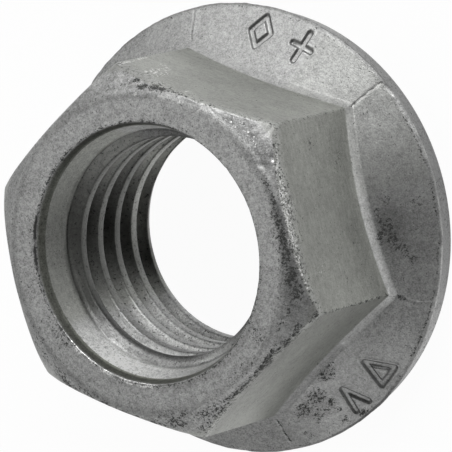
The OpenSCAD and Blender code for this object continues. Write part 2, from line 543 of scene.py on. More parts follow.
def sector(skin, low, high, soft):
    """1 between two directions, low to high anticlockwise, and soft at both ends."""
    half = (high - low) / 2
    return window(away(skin.angle, low + half), -half, half, soft)


# Wear in the surface, in millimetres. Sectors are first direction, last direction and soft ends
RIM_WORN_FROM = (0.2, 0.8)
RIM_SET_BACK = 0.02
RIM_BURR = 0.05
SEAM_RAISE = 0.07
SEAM_CUT = 0.06
SEAM_EVEN = 0.65
BORDER_HEIGHT = 0.03
BORDER_OUT = 0.1
BORDER_WIDTH = 0.12
NICK_WIDTH = 0.2
NICK_DEPTH = 0.06
CRESCENT = (-34, 20, 10)
CRESCENT_DEPTH = 0.045
WORN_ARC = (20, 84, 8)
WORN_ARC_DEPTH = 0.035
BATTERED = (66, 92, 5)
BATTERED_HEIGHTS = (18.2, 19.6)
BATTERED_DEPTH = 0.06
LIP_WIDTH = 0.13
LIP_TALL = 0.4
LIP_BURR = (209, 257, 5)
LIP_BURR_HEIGHT = 0.04
LIP_DENT = 0.05
RING_OUT = 0.08
RING_WIDTH = 0.1
RING_TALL = 0.3
LIP_CRACK = (152, 173, 3)
LIP_CRACK_OUT = 0.16
LIP_CRACK_WIDTH = 0.11
LIP_CRACK_DEPTH = 0.16
ROOM_ASIDE = 0.004
ROOM_ABOVE = 0.002


def shape_wear(skin):
    """Dents, seams, marks and burrs, pushed into the surface. Gives the masks that the coat uses."""
    points = skin.points()
    forged = skin.inside("flange rim rim_edge fillet flat")
    turned = skin.inside("bearing face face_edge lip mouth mouth_edge band")
    skin.push(forged * (noise(points, "forged") + noise(points, "forged fine")))
    skin.push(turned * noise(points, "turned"))

    rim = skin.inside("rim rim_edge") * ramp(skin.z, *RIM_WORN_FROM)
    skin.push(rim * (noise(points, "rim") + noise(points, "rim fine") - RIM_SET_BACK))
    skin.push(RIM_BURR * skin.inside("rim_edge") * patchy(points, "rim burr"))

    crack, raised = seams(skin)
    ragged = SEAM_EVEN + noise(points, "seam ragged")
    skin.push((SEAM_RAISE * raised - SEAM_CUT * crack) * ragged)

    marks = mark_distance(skin)
    skin.push(-STROKE_DEPTH * (1 - ramp(marks, STROKE, STROKE + STROKE_WALL)))
    skin.push(BORDER_HEIGHT * bell(marks - STROKE - STROKE_WALL - BORDER_OUT, BORDER_WIDTH))

    off_corner = np.radians(30 - np.abs((skin.angle + 30) % 60 - 30)) * skin.r
    corner = bell(off_corner, NICK_WIDTH) * skin.inside("flat")
    nicks = corner * patchy(points, "nicks")
    skin.push(-NICK_DEPTH * nicks)

    edge = skin.inside("roll chamfer face_edge")
    skin.push(-CRESCENT_DEPTH * edge * sector(skin, *CRESCENT) * patchy(points, "crescent"))
    skin.push(-WORN_ARC_DEPTH * edge * sector(skin, *WORN_ARC) * patchy(points, "worn arc"))
    battered = sector(skin, *BATTERED) * ramp(skin.z, *BATTERED_HEIGHTS)
    battered = battered * skin.inside("flat roll chamfer")
    skin.push(battered * (noise(points, "battered") - BATTERED_DEPTH))

    lip = bell(skin.r - LIP[0], LIP_WIDTH) * bell(skin.z - HEIGHT, LIP_TALL)
    lip = lip * skin.inside("face lip mouth")
    burr = lip * sector(skin, *LIP_BURR) * patchy(points, "lip burr")
    skin.push(burr * (LIP_BURR_HEIGHT + noise(points, "burr")))
    skin.push(-LIP_DENT * lip * patchy(points, "lip dents"))
    ring = bell(skin.r - LIP[0] - RING_OUT - noise(points, "ring"), RING_WIDTH)
    ring = ring * ramp(skin.z, HEIGHT - RING_TALL, HEIGHT)
    off_crack = skin.r - LIP[0] - LIP_CRACK_OUT - noise(points, "crack") - noise(points, "crack fine")
    notch = bell(off_crack, LIP_CRACK_WIDTH) * patchy(points, "crack")
    notch = notch * skin.inside("face lip") * sector(skin, *LIP_CRACK)
    skin.push(-LIP_CRACK_DEPTH * notch)

    skin.r = np.minimum(skin.r, BOX_RADIUS - ROOM_ASIDE)
    skin.z = np.clip(skin.z, 0.0, BOX_HEIGHT - ROOM_ABOVE)
    return {"crack": crack * ragged, "raised": raised * ragged, "marks": marks, "nicks": nicks,
            "corner": corner, "notch": notch, "ring": ring, "battered": battered}


# Patches of dirt: middle angle, middle radius, half size in degrees, half size in mm, strength
FACE_DIRT = (
    (15, 15.45, 4, 0.32, 1.15), (8, 15.4, 5, 0.3, 1.1), (1, 15.3, 6, 0.4, 1.3),
    (-5, 15.35, 5, 0.42, 1.4), (-12, 15.45, 5, 0.48, 1.5), (-19, 15.95, 4.5, 0.55, 1.5),
    (-24, 16.5, 4, 0.5, 1.4), (-29, 16.2, 3.5, 0.4, 1), (-8, 14.9, 16, 0.5, 0.85),
    (-37, 17.2, 4, 0.35, 1.15), (-35, 15.7, 4, 0.25, 0.95), (-31, 18.1, 3, 0.3, 1),
    (-20, 15.1, 12, 0.35, 0.75), (0, 14.7, 14, 0.3, 0.5), (-58, 16, 10, 0.25, 1.17),
    (-47, 16.6, 5, 0.5, 0.98), (-77, 16.6, 10, 0.78, 1.02), (-86, 17.4, 6, 0.62, 0.91),
    (-56, 15.2, 8, 0.31, 0.78), (55, 16.1, 5, 0.25, 0.65), (70, 15.93, 5, 0.18, 1.3),
    (62, 15.95, 5, 0.14, 1.1), (77, 15.98, 2.4, 0.38, 1.5), (72.5, 16.05, 2.4, 0.32, 1.5),
    (80, 16.55, 2, 0.28, 1.3), (90, 16.1, 9, 0.12, 0.85), (96, 15.6, 6, 0.12, 0.8),
    (91, 15.2, 3, 0.12, 0.75), (25, 17.1, 3, 0.3, 0.6), (36, 16.9, 3, 0.3, 0.5),
    (30, 15.6, 6, 0.3, 0.5), (-44, 13.9, 3.5, 1.25, 0.81), (-62, 14.9, 9, 0.62, 0.59),
    (55, 14.3, 1.2, 0.6, 0.6), (168, 16.5, 10, 0.25, 0.55), (156, 15.6, 9, 0.3, 0.5),
    (200, 15.4, 6, 0.75, 0.72), (206, 16.4, 8, 0.5, 0.78), (232, 15.9, 12, 0.5, 1.1),
    (244, 16.1, 7, 0.44, 1.23), (220, 16.6, 9, 0.5, 1.08), (256, 16.7, 6, 0.78, 1.02),
    (215, 15.9, 5, 0.31, 1.04), (-84, 16.3, 5, 0.55, 1.02), (-79, 15.95, 8, 0.31, 1.02),
    (-90, 15.7, 4, 0.47, 1.02), (-95, 16.5, 5, 0.78, 1.02), (-68, 15.95, 8, 0.22, 1.3),
    (-50, 16.05, 8, 0.25, 1.43), (-42, 16.8, 4, 0.38, 1.3), (262, 15.6, 7, 0.5, 0.78),
    (118, 16.2, 9, 0.3, 0.5), (190, 14, 14, 0.6, 0.4), (165, 13.3, 12, 0.4, 0.55),
    (205, 13.4, 10, 0.5, 0.78),
)
FLANGE_DIRT = (
    (-9, 17.7, 3.7, 0.57, 1.25), (-13, 18.1, 2.5, 0.57, 1.32), (-16, 18.9, 1.8, 0.69, 1.12),
    (-18.5, 19.7, 1.1, 0.57, 0.99), (-5, 17.1, 3.4, 0.34, 1.06), (-12, 17.1, 2.9, 0.34, 1.06),
    (0, 17.9, 2.9, 0.46, 0.79), (-3, 20.6, 1.6, 0.92, 0.79), (-10, 19.8, 2, 0.5, 0.45),
    (-73.5, 18.1, 4.2, 0.75, 1.12), (-80, 18.7, 4.4, 0.8, 1.08), (-76, 19.7, 3.6, 0.7, 1.02),
    (-71.2, 19.3, 1.6, 0.5, 1.25), (-71, 20.2, 1, 0.34, 1.19), (-65, 17.1, 3.6, 0.65, 1.12),
    (-62, 16.7, 3.4, 0.29, 1.06), (-66.5, 21.7, 1.6, 0.29, 1.39), (-72, 21.3, 1.4, 0.34, 1.25),
    (-79, 20.2, 1.1, 0.34, 0.92), (-84, 21, 2.3, 0.46, 0.79), (-30.3, 19.2, 0.9, 0.6, 1.2),
    (26, 19.4, 2, 0.5, 0.5),
)

# Soft smudges: the same five numbers, the last being how much of the light they take
FACE_SMUDGE = (
    (0, 15.4, 14, 0.45, 0.3), (-18, 16.0, 9, 0.7, 0.26), (-31, 16.6, 6, 0.8, 0.14),
    (-56, 16.3, 16, 0.5, 0.12), (-66, 13.1, 40, 0.35, 0.18), (90, 16.6, 10, 0.5, 0.12),
)
FLANGE_SMUDGE = (
    (-9, 18.2, 7, 1.2, 0.26), (-12, 20.3, 7, 1.0, 0.1), (-76, 18.8, 8, 1.2, 0.22),
    (-66, 17.0, 6, 0.6, 0.16), (-88, 20.6, 9, 1.6, 0.1), (27, 20.2, 3, 1.6, 0.08),
)

# Specks on the flats: the flat's direction, place along it and height, half sizes in mm, strength
FLAT_DIRT = (
    (0, 7.2, 18.8, 0.3, 0.3, 0.6), (0, -5.8, 18.6, 0.5, 0.3, 0.55), (0, 7.0, 10.6, 0.35, 0.6, 0.55),
    (0, 6.1, 7.4, 0.4, 0.3, 0.45), (0, -1.5, 8.2, 0.3, 0.3, 0.5), (0, -3.4, 14.0, 0.3, 0.7, 0.6),
    (0, 6.6, 13.4, 0.9, 0.25, 0.9), (0, 4.4, 9.2, 1.5, 0.3, 0.75), (0, 1.2, 12.2, 0.8, 0.3, 0.75),
    (0, -0.6, 16.8, 1.2, 0.4, 0.7), (0, -4.2, 9.6, 1.1, 0.25, 0.8), (0, -6.6, 12.4, 0.5, 0.3, 0.75),
    (0, 2.2, 19.0, 1.2, 0.3, 0.75), (60, -7.7, 19.3, 0.5, 0.4, 0.5), (60, 5.5, 19.4, 0.8, 0.25, 0.5),
    (-60, 1.3, 18.5, 0.3, 0.3, 0.5), (-60, 5.5, 11.6, 0.3, 0.3, 0.5), (-60, -0.8, 7.4, 0.3, 0.3, 0.45),
)
FLAT_SCUFFS = (
    (60, 5.6, 17.2, 1.2, 2.0, 0.5), (60, -3.4, 17.0, 0.7, 0.4, 0.45), (60, 0.2, 19.1, 0.8, 0.3, 0.45),
    (60, 6.4, 14.4, 1.0, 0.7, 0.42), (60, 6.7, 12.8, 0.5, 0.5, 0.4), (60, 5.7, 15.9, 0.5, 0.5, 0.6),
    (60, 8.8, 17.4, 0.2, 1.6, 0.85), (60, 8.9, 14.6, 0.2, 1.4, 0.7), (0, -5.0, 16.5, 1.2, 1.4, 0.25),
)


# Where a spot begins to fade and where it ends, over its half size, and how far a flat reaches
SPOT_FADE = (0.4, 1.5)
FLAT_REACH = 35


def patches(skin, spots):
    """How much the spots of a list cover each point of a round face."""
    cover = np.zeros(len(skin.r))
    for angle, radius, wide, tall, strength in spots:
        off = np.hypot(away(skin.angle, angle) / wide, (skin.r - radius) / tall)
        cover = np.maximum(cover, strength * (1 - ramp(off, *SPOT_FADE)))
    return cover


def flat_patches(skin, spots):
    """How much the spots of a list cover each point of the flats."""
    cover = np.zeros(len(skin.r))
    for side, along, height, wide, tall, strength in spots:
        turn = np.clip(away(skin.angle, side), -FLAT_REACH, FLAT_REACH)
        place = HALF_FLATS * np.tan(np.radians(turn))
        off = np.hypot((place - along) / wide, (skin.z - height) / tall)
        cover = np.maximum(cover, strength * (1 - ramp(off, *SPOT_FADE)))
    return cover * skin.inside("flat roll fillet")


# Tables of tones. Each line has zones, strength, directions and reach; what is left out or empty
# means everywhere. Directions are (middle, half width) or (first, last, soft ends). Reach is
# a height z, a radius r or a place on the worn edge: (from, to), or (from, to, soft ends).

# Painted light and shadow outside the thread, added to the plain coat's 1
TONES = (
    ("rim rim_edge", -0.34),
    ("rim rim_edge", -0.24, (5, 33)),
    ("rim rim_edge", 0.42, (-42, 12)),
    ("rim rim_edge", -0.3, (-64, 10)),
    ("flat", -0.12, (-85, -35, 5), ("z", 16, 19)),
    ("flat", -0.1, (), ("z", 13, 20)),
    ("flat", -0.09, (0, 32), ("z", 8, 11)),
    ("fillet", 0.4, (-50, 26, 4)),
    ("flange", 0.06, (6, 20, 6)),
    ("flange", -0.12, (-58, 8)),
    ("flange", 0.12, (-80, 7)),
    ("flange", -0.1, (-9, 8)),
    ("roll chamfer", -0.22, (150, 24)),
    ("roll chamfer", -0.17, (93, 18)),
    ("roll chamfer", 0.38, (250, 40)),
    ("face_edge", 0.19, (250, 40)),
    ("chamfer", -0.4, (22, 42, 5), ("r", 15.4, 16)),
    ("face_edge chamfer", -0.24, (76, 115, 8), ("r", 16.4, 15.9)),
    ("band mouth_edge", -0.1, (162, 20)),
    ("mouth mouth_edge", 0.4, (140, 195, 20)),
)
# Painted light: the top is lighter on one side, and a painted glint runs along the rim's edge
TOP_TILT = 0.09
TOP_LIGHTEST = 60
GLINT = 0.85
GLINT_EVEN = 0.6
GLINT_SECTOR = (-30, 20, 10)

# Painted light on the smooth band, which is less at its foot
BAND_LIGHT = (
    ("band mouth_edge", 1.75, (234, 37)),
    ("band mouth_edge", 1.55, (104, 37)),
)
BAND_LOW = 0.45
BAND_MORE = 0.55
BAND_RISE = 0.5

# Painted light and shade in the thread. The lit side begins and ends at a direction, from and to so many
# degrees off it
THREAD_PLAIN = 0.62
LIT_START = (200, -24, 28)
LIT_END = (300, -20, 20)
LIT_MORE = 0.66
LOW_MORE = 1.1
LOW_PEAK = ("thread", 0.9, (212, 24))
LOW_HEIGHTS = (9, 15)
GROOVE_LESS = 0.78
GROOVE_RADII = (10.9, 11.4)
GROOVE_HEIGHTS = (11.5, 13.0)
CREST_LESS = ("thread", 0.26, (165, 220, 15))
CREST_LIT_LESS = 0.58
CREST_RADII = (10.62, 10.95)
DEEP_MORE = ("thread", 1.1, (125, 165, 20), ("z", 8.5, 6.5))
DEEP_LESS = ("thread", 0.25, (125, 165, 20))
DEEP_PLACE = (10, 1.6)

# More painted light and shade in the thread, as changes to its light
THREAD_TONES = (
    ("thread", -0.24, (168, 200, 20), ("z", 13.6, 14.8)),
    ("thread", -0.12, (110, 155, 20), ("z", 13.2, 14.8)),
    ("thread", -0.5, (200, 262, 18), ("z", 14.2, 15.8)),
)

# Shadow at the ledge below the band, and in the lip's crack
LEDGE_LESS = ("band thread", 0.5, (170, 300, 20))
LEDGE_DOWN = 0.04
LEDGE_TALL = 0.08
NOTCH_LESS = 0.9
NOTCH_GAIN = 1.5

# How smooth the coat is
SMOOTH = (
    ("flat", 1.0),
    ("roll", 0.8),
    ("chamfer", 0.8, (), ("r", RIDGE - 0.1, RIDGE + 0.3)),
    ("fillet", 0.5),
    ("band mouth_edge", 0.15),
    ("thread band", 0.85, (100, 200, 20)),
    ("rim", 0.5),
    ("bearing", 0.3),
    ("flange fillet", 0.7, (4, 48, 12)),
    ("flange fillet", 0.4, (-88, -48, 8)),
    ("flange fillet", 0.35, (8, 105, 12)),
)
TURNED_FROM = (0.1, 0.2)
FILLET_LIT = (-32, 28, 4)

# Thin dirt that lies everywhere, and what the zones add to it
GRIME_LEAST = 0.16
GRIME_MORE = (
    ("roll chamfer face_edge face", 0.1),
    ("thread", 0.3),
)
# Dirt on the worn edge, at the lip, the rim and the corners, and in damage
ROLL_GRIME = (
    ("roll", 0.6),
    ("roll", 0.2, (-22, 24, 6)),
)
LIP_GRIME_LEAST = 0.75
LIP_GRIME = (
    ("face lip", 0.5, (-105, -25, 15)),
    ("face lip", 0.4, (60, 110, 10)),
    ("face lip", 0.55, (122, 208, 8)),
)
WIDE_OUT = 0.18
WIDE_WIDTH = 0.22
WIDE_LESS = 0.35
RIM_LINE_IN = 0.05
RIM_LINE_WIDTH = 0.1
RIM_LINE_LEAST = 0.4
RIM_LINE_PATCHY = 0.6
RIM_LINE_EVEN = 0.8
RIM_LINE_MORE = ("rim_edge flange", 0.6, (-44, 24, 5))
RIM_GRIME_LEAST = 0.36
RIM_GRIME_PATCHY = 0.3
CORNER_GRIME = 0.65
CORNER_MORE = ("flat", 0.35, (-40, -20, 2))
EDGE_GRIME = ("flat roll", 0.95, (-28, 18, 4))
EDGE_UP = 0.05
EDGE_TALL = 0.1
# Dirt and painted shadow in the seams' cracks
CRACK_DIRT_AND_SHADOW = 1.1
NICK_GRIME = 0.9
# Dirt and painted shadow in the lip's crack
NOTCH_DIRT_AND_SHADOW = 5.0
BATTERED_GRIME = 0.4

# Bared metal
BRIGHT = (
    ("chamfer", 0.24, (24, 42, 4), ("r", 15.6, 17.0, 0.2)),
    ("chamfer", 0.14, (24, 35, 3), ("r", 17.2, 17.6)),
    ("roll chamfer", 0.58, (-8, 22, 5), ("rolled", 0.2, 1.35, 0.25)),
    ("roll chamfer", 0.56, (-21, -6, 4), ("rolled", 0.2, 1.1, 0.2)),
    # Bared metal on the rim's edge, on its lit side only, is partly a painted glint
    ("rim_edge", 0.2, (-4, 24, 4)),
)
FACE_METAL = ("roll chamfer face_edge face", 1.05, (44, 79, 3))
FACE_METAL_IN = 0.02
FACE_METAL_WIDTH = 0.2
BURR_METAL = ("face lip", 0.78, (209, 262, 5))
BURR_METAL_GAIN = 1.7
BURR_METAL_OUT = 0.14
BURR_METAL_WIDTH = 0.2
RAISED_METAL = 0.2
BATTERED_METAL = 0.2


def tone(skin, zones, strength, directions=(), reach=()):
    """How much one line of a table of tones gives to each point."""
    amount = strength * skin.inside(zones)
    if len(directions) == 2:
        amount = amount * bell(away(skin.angle, directions[0]), directions[1])
    if len(directions) == 3:
        amount = amount * sector(skin, *directions)
    if reach:
        shape = ramp if len(reach) == 3 else window
        amount = amount * shape(getattr(skin, reach[0]), *reach[1:])
    return amount


def thread_light(skin):
    """How light the thread's coat is, as painted light and shade: lighter low down on its lit side, and dark
    in its grooves.
    """
    start, end = away(skin.angle, LIT_START[0]), away(skin.angle, LIT_END[0])
    lit = ramp(start, *LIT_START[1:]) * (1 - ramp(end, *LIT_END[1:]))
    low = 1 - ramp(skin.z, *LOW_HEIGHTS)
    light = THREAD_PLAIN + lit * (LIT_MORE + (LOW_MORE + tone(skin, *LOW_PEAK)) * low)
    groove = ramp(skin.r, *GROOVE_RADII) * (1 - ramp(skin.z, *GROOVE_HEIGHTS))
    light *= 1 - GROOVE_LESS * groove * lit
    crest = 1 - ramp(skin.r, *CREST_RADII)
    light *= 1 - (tone(skin, *CREST_LESS) * (1 - lit) + CREST_LIT_LESS * lit) * crest
    for row in THREAD_TONES:
        light *= 1 + tone(skin, *row)
    shadow = tone(skin, *DEEP_LESS) * bell(skin.z - DEEP_PLACE[0], DEEP_PLACE[1])
    return light * (1 + tone(skin, *DEEP_MORE) - shadow)


def shading(skin, wear):
    """How light the coat is, 1 being plain. Carries dirt smudges, and painted light and shade over the whole
    nut, most in the bore.
    """
    top = skin.inside("roll chamfer face_edge face lip")
    shade = 1 + top * TOP_TILT * np.cos(np.radians(skin.angle - TOP_LIGHTEST))
    shade += sum(tone(skin, *row) for row in TONES)
    glint = skin.inside("rim_edge") * (GLINT_EVEN + noise(skin.points(), "rim glint"))
    shade += GLINT * glint * sector(skin, *GLINT_SECTOR)
    rise = ramp(skin.z, BAND_FOOT[1], BAND_FOOT[1] + BAND_RISE)
    shade += sum(tone(skin, *row) for row in BAND_LIGHT) * (BAND_LOW + BAND_MORE * rise)
    shade = np.where(skin.inside("thread") > 0, thread_light(skin), shade)
    shade *= 1 - tone(skin, *LEDGE_LESS) * bell(skin.z - BAND_FOOT[1] + LEDGE_DOWN, LEDGE_TALL)
    shade *= 1 - top * patches(skin, FACE_SMUDGE)
    shade *= 1 - NOTCH_LESS * np.minimum(1, NOTCH_GAIN * wear["notch"])
    shade *= 1 - skin.inside("flange fillet") * patches(skin, FLANGE_SMUDGE)
    return shade


def grime_mask(skin, wear):
    """How dirty each point is, with painted shadow in the cracks too."""
    top = skin.inside("roll chamfer face_edge face")
    lip = skin.inside("face lip")
    dirty = patchy(skin.points(), "rim dirt")
    rim_line = bell(skin.r - RIM + RIM_ROUND + RIM_LINE_IN, RIM_LINE_WIDTH)
    rim_line = rim_line * (RIM_LINE_LEAST + RIM_LINE_PATCHY * dirty)
    rim_share = RIM_LINE_EVEN * skin.inside("rim_edge flange") + tone(skin, *RIM_LINE_MORE)
    lip_dirt = LIP_GRIME_LEAST + sum(tone(skin, *row) for row in LIP_GRIME)
    lip_wide = lip * bell(skin.r - LIP[0] - WIDE_OUT, WIDE_WIDTH)
    return np.maximum.reduce([
        GRIME_LEAST + sum(tone(skin, *row) for row in GRIME_MORE),
        top * patches(skin, FACE_DIRT),
        skin.inside("flange fillet") * patches(skin, FLANGE_DIRT),
        flat_patches(skin, FLAT_DIRT),
        # Dirt and painted shadow in the seams' cracks
        CRACK_DIRT_AND_SHADOW * wear["crack"],
        NICK_GRIME * wear["nicks"],
        (CORNER_GRIME + tone(skin, *CORNER_MORE)) * wear["corner"],
        rim_line * rim_share,
        lip * wear["ring"] * lip_dirt,
        lip_wide * (lip_dirt - WIDE_LESS),
        # Dirt and painted shadow in the lip's crack
        NOTCH_DIRT_AND_SHADOW * wear["notch"],
        tone(skin, *EDGE_GRIME) * bell(skin.rolled - EDGE_UP, EDGE_TALL),
        sum(tone(skin, *row) for row in ROLL_GRIME),
        BATTERED_GRIME * wear["battered"] * skin.inside("roll chamfer"),
        skin.inside("rim") * (RIM_GRIME_LEAST + RIM_GRIME_PATCHY * dirty),
    ])


def metal_mask(skin, wear):
    """How far the coat is worn down to bare metal; on the rim's lit edge it is partly a painted glint."""
    on_face = bell(skin.r - FACE_RADIUS + FACE_METAL_IN, FACE_METAL_WIDTH)
    on_lip = np.minimum(1, BURR_METAL_GAIN * bell(skin.r - LIP[0] - BURR_METAL_OUT, BURR_METAL_WIDTH))
    return np.maximum.reduce([
        *[tone(skin, *row) for row in BRIGHT],
        tone(skin, *FACE_METAL) * on_face * patchy(skin.points(), "flecks"),
        tone(skin, *BURR_METAL) * on_lip * patchy(skin.points(), "burr metal"),
        RAISED_METAL * wear["raised"],
        BATTERED_METAL * wear["battered"],
        flat_patches(skin, FLAT_SCUFFS),
    ])


def masks(skin, wear):
    """What the coat's material reads at each point."""
    turned = skin.inside("mouth") * ramp(HEIGHT - skin.z, *TURNED_FROM)
    return {
        "grime": grime_mask(skin, wear),
        "bright": metal_mask(skin, wear),
        "smooth": np.maximum.reduce([tone(skin, *row) for row in SMOOTH]),
        "turned": np.maximum(turned, skin.inside("mouth_edge")),
        "dull": skin.inside("fillet") * (1 - sector(skin, *FILLET_LIT)),
        "stroke": np.clip(wear["marks"], 0, 1),
        "shade": shading(skin, wear),
    }


def add_object(name, data):
    made = bpy.data.objects.new(name, data)
    bpy.context.scene.collection.objects.link(made)
    return made


def make_mesh(name, skin, values):
    """The object for the skin, in metres, with its masks as attributes."""
    mesh = bpy.data.meshes.new(name)
    mesh.from_pydata((skin.points() * MM).tolist(), [], skin.faces)
    mesh.polygons.foreach_set("use_smooth", [True] * len(mesh.polygons))
    for label, value in values.items():
        layer = mesh.attributes.new(label, "FLOAT", "POINT")
        layer.data.foreach_set("value", value.astype(np.float32))
    mesh.validate()
    mesh.update()
    return add_object(name, mesh)


class Nodes:
    """Short calls that add nodes to a material or world."""

    def __init__(self, tree):
        self.tree = tree
        self.tree.nodes.clear()

    def add(self, kind, inputs=None, **settings):
        node = self.tree.nodes.new(kind)
        for key, value in settings.items():
            setattr(node, key, value)
        for key, value in (inputs or {}).items():
            if isinstance(value, bpy.types.NodeSocket):
                self.tree.links.new(value, node.inputs[key])
            else:
                node.inputs[key].default_value = value
        return node

    def math(self, operation, *values):
        return self.add("ShaderNodeMath", dict(enumerate(values)), operation=operation).outputs[0]

    def ramp(self, value, low, high):
        node = self.add("ShaderNodeMapRange", {"Value": value, "From Min": low, "From Max": high},
                        interpolation_type="SMOOTHSTEP")
        return node.outputs["Result"]

    def mix(self, share, first, second, kind="RGBA"):
        node = self.add("ShaderNodeMix", data_type=kind)
        slots = {"RGBA": ("A_Color", "B_Color", "Result_Color", "Factor_Float"),
                 "FLOAT": ("A_Float", "B_Float", "Result_Float", "Factor_Float")}[kind]
        sockets = {s.identifier: s for s in [*node.inputs, *node.outputs]}
        for key, value in zip((slots[0], slots[1], slots[3]), (first, second, share)):
            if isinstance(value, bpy.types.NodeSocket):
                self.tree.links.new(value, sockets[key])
            else:
                sockets[key].default_value = value
        return sockets[slots[2]]

    def noise(self, place, scale, detail=2.0, roughness=0.5):
        node = self.add("ShaderNodeTexNoise", {"Vector": place, "Scale": scale, "Detail": detail,
                                               "Roughness": roughness})
        return node.outputs["Fac"]

    def attribute(self, name):
        return self.add("ShaderNodeAttribute", attribute_name=name).outputs["Fac"]

    def place(self, stretch=(1, 1, 1), shift=(0, 0, 0)):
        """Coordinates in millimetres."""
        coordinates = self.add("ShaderNodeTexCoord").outputs["Object"]
        scale = tuple(s / MM for s in stretch)
        inputs = {"Vector": coordinates, "Scale": scale, "Location": shift}
        return self.add("ShaderNodeMapping", inputs).outputs[0]

    def centred(self, noise, amount):
        """Noise about zero, times an amount."""
        return self.math("MULTIPLY", self.math("SUBTRACT", noise, 0.5), amount)

    def scaled(self, colour, amount):
        return self.add("ShaderNodeVectorMath", {0: colour, "Scale": amount}, operation="SCALE").outputs[0]


COAT = (0.345, 0.347, 0.342, 1)
COAT_SMOOTH = (0.295, 0.301, 0.279, 1)
BARE = (0.68, 0.68, 0.67, 1)
GRIME = (0.03, 0.031, 0.029, 1)
TURNED = (0.145, 0.149, 0.132, 1)

# Noise in the coat: scale per millimetre, detail and roughness
GRAIN = (2.6, 3.0, 0.7)
FINE = (7.0, 1.0, 0.5)
BLOTCH = (1.1, 3.0, 0.6)
CLOUD = (0.3, 2.0, 0.5)
CLUMPS = (4.0, 3.0, 0.65)
CLUMPS_SHIFT = (7, 3, 5)
SPECKS = (3.4, 3.0, 0.85)
SPECKS_SHIFT = (1, 9, 2)
STREAKS = (1.0, 3.0, 0.65)
STREAKS_STRETCH = (0.7, 0.7, 3.4)

# How much the noise changes the coat's lightness, where it is grainy and where it is smooth
GRAIN_LEVEL = (1.3, 0.7)
FINE_LEVEL = (1.2, 0.6)
BLOTCH_LEVEL = (0.5, 0.25)
CLOUD_LEVEL = 0.35
STREAKS_LEVEL = (0.1, 0.6)
DARKEST = -0.6
TINTED_FROM = (0.55, 1.0)

# Painted shade on the walls of the strokes, bared metal, specks and solid dirt: pairs say where each begins
# and is full
STROKE_INNER = (STROKE - 0.06, STROKE + 0.03)
STROKE_OUTER = (STROKE + 0.22, STROKE + 0.12)
STROKE_WALL_SHADE = 0.55
METAL_CLUMPS = 3.4
METAL_FROM = (0.55, 0.85)
METAL_LEAST = (0.05, 0.3)
SPECK_REACH = 0.665
SPECK_GRIME = 0.165
SPECK_MOST = 1.6
SPECK_FROM = (-0.01, 0.05)
SPECK_COVER = 0.95
SOLID_FROM = (0.8, 2.6)
SOLID_COVER = 0.85

# Metallic share, roughness and bump of each surface. Pairs are outside and inside a mask
COAT_METAL = (0.62, 0.3)
BARE_METAL = 1.0
DIRT_METAL = 0.2
COAT_ROUGH = (0.45, 0.65)
SMOOTH_ROUGH = 0.42
BARE_ROUGH = 0.36
TURNED_ROUGH = 0.3
DIRT_ROUGH = 0.7
GRAIN_HEIGHT = 0.6
FINE_HEIGHT = 0.4
COAT_BUMP = (0.6, 0.25)
TURNED_BUMP = 0.02
BUMP_DISTANCE = 0.06 * MM


